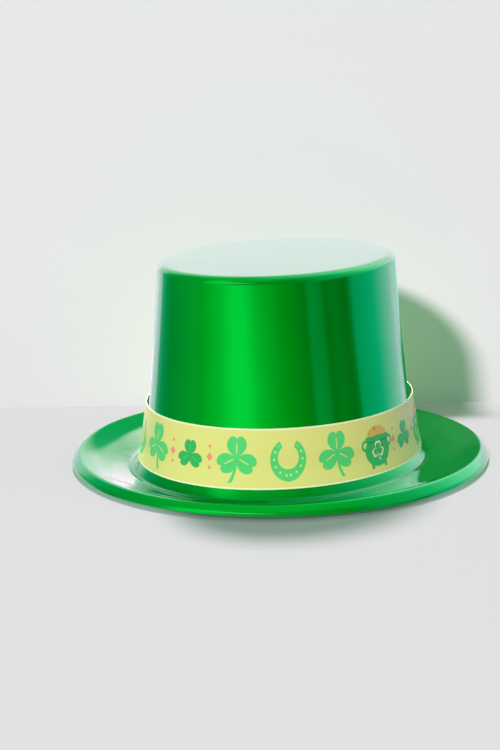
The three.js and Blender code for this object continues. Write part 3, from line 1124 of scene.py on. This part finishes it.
upper_room = [
    Bearing(-180, (0.75, 0.75, 0.95)),
    Bearing(-142, (0.75, 0.75, 0.95)),
    Bearing(-133, (0.02, 0.55, 0.48)),
    Bearing(-118, (0.00, 0.42, 0.22)),
    Bearing(-90, (0.00, 0.42, 0.12)),
    Bearing(-66, (0.00, 0.50, 0.12)),
    Bearing(-54, (0.00, 0.98, 0.30)),
    Bearing(-38, (0.00, 0.98, 0.30)),
    Bearing(-24, (0.00, 0.55, 0.12)),
    Bearing(0, (0.00, 0.44, 0.09)),
    Bearing(24, (0.00, 0.36, 0.04)),
    Bearing(42, (0.00, 0.32, 0.03)),
    Bearing(56, (0.00, 0.40, 0.14)),
    Bearing(70, (0.00, 0.50, 0.36)),
    Bearing(88, (0.05, 0.60, 0.55)),
    Bearing(104, (0.20, 0.76, 0.90)),
    Bearing(124, (0.80, 1.05, 1.45)),
    Bearing(148, (1.05, 1.10, 1.50)),
    Bearing(166, (0.75, 0.75, 0.95)),
    Bearing(180, (0.75, 0.75, 0.95)),
]
ceiling = [
    Bearing(-180, (0.02, 0.66, 0.18)),
    Bearing(72, (0.02, 0.66, 0.18)),
    Bearing(96, (0.03, 0.66, 0.60)),
    Bearing(120, (0.18, 0.76, 1.05)),
    Bearing(142, (0.40, 0.85, 1.10)),
    Bearing(170, (0.02, 0.66, 0.18)),
    Bearing(180, (0.02, 0.66, 0.18)),
]
camera_sees, matt_surfaces_get = (0.78, 0.78, 0.78, 1), (0.045, 0.075, 0.055, 1)

world = bpy.data.worlds.new("room")
bpy.context.scene.world = world
world.use_nodes = True
tree = world.node_tree
tree.nodes.clear()
look = add_node(tree, "ShaderNodeSeparateXYZ")
plug(tree, add_node(tree, "ShaderNodeTexCoord").outputs["Generated"], look.inputs[0])
azimuth = calc(tree, "ARCTAN2", look.outputs["X"], calc(tree, "MULTIPLY", look.outputs["Y"], -1))
bearing = calc(tree, "WRAP", calc(tree, "SUBTRACT", azimuth, camera_azimuth), math.pi, -math.pi)
turn = calc(tree, "MULTIPLY_ADD", bearing, 0.5 / math.pi, 0.5)


def round_the_room(entries):
    """Colours that change with the bearing."""
    ramp = add_node(tree, "ShaderNodeValToRGB")
    plug(tree, turn, ramp.inputs["Fac"])
    stops = ramp.color_ramp.elements
    stops[0].color, stops[1].color = (*entries[0].colour, 1), (*entries[-1].colour, 1)
    for entry in entries[1:-1]:
        stops.new((entry.degrees + 180) / 360).color = (*entry.colour, 1)
    return ramp.outputs["Color"]


def within(value, middle, half, softness):
    """1 where an angle is near a middle. All are in degrees but the value."""
    off_middle = calc(tree, "ABSOLUTE", calc(tree, "SUBTRACT", value, math.radians(middle)))
    return short_of(tree, off_middle, math.radians(half), math.radians(softness))


upper_from, upper_softness = math.radians(7), math.radians(8)
ceiling_from, ceiling_softness = math.radians(57), math.radians(24)
window_light = (1.6, 1.9, 1.7, 1)
elevation = calc(tree, "ARCSINE", look.outputs["Z"])
is_upper = beyond(tree, elevation, upper_from, upper_softness)
mirrored = mix_colours(tree, is_upper, round_the_room(room), round_the_room(upper_room))
is_ceiling = beyond(tree, elevation, ceiling_from, ceiling_softness)
mirrored = mix_colours(tree, is_ceiling, mirrored, round_the_room(ceiling))
in_window = calc(
    tree,
    "MULTIPLY",
    within(bearing, middle=-21, half=14, softness=22),
    within(elevation, middle=27, half=4, softness=4),
)
mirrored = mix_colours(tree, in_window, mirrored, window_light)
path = add_node(tree, "ShaderNodeLightPath")
light = mix_colours(tree, path.outputs["Is Glossy Ray"], matt_surfaces_get, mirrored)
light = mix_colours(tree, path.outputs["Is Camera Ray"], light, camera_sees)
background = add_node(tree, "ShaderNodeBackground")
plug(tree, light, background.inputs["Color"])
tree.links.new(background.outputs[0], add_node(tree, "ShaderNodeOutputWorld").inputs["Surface"])
bpy.context.scene.view_settings.view_transform = "Standard"
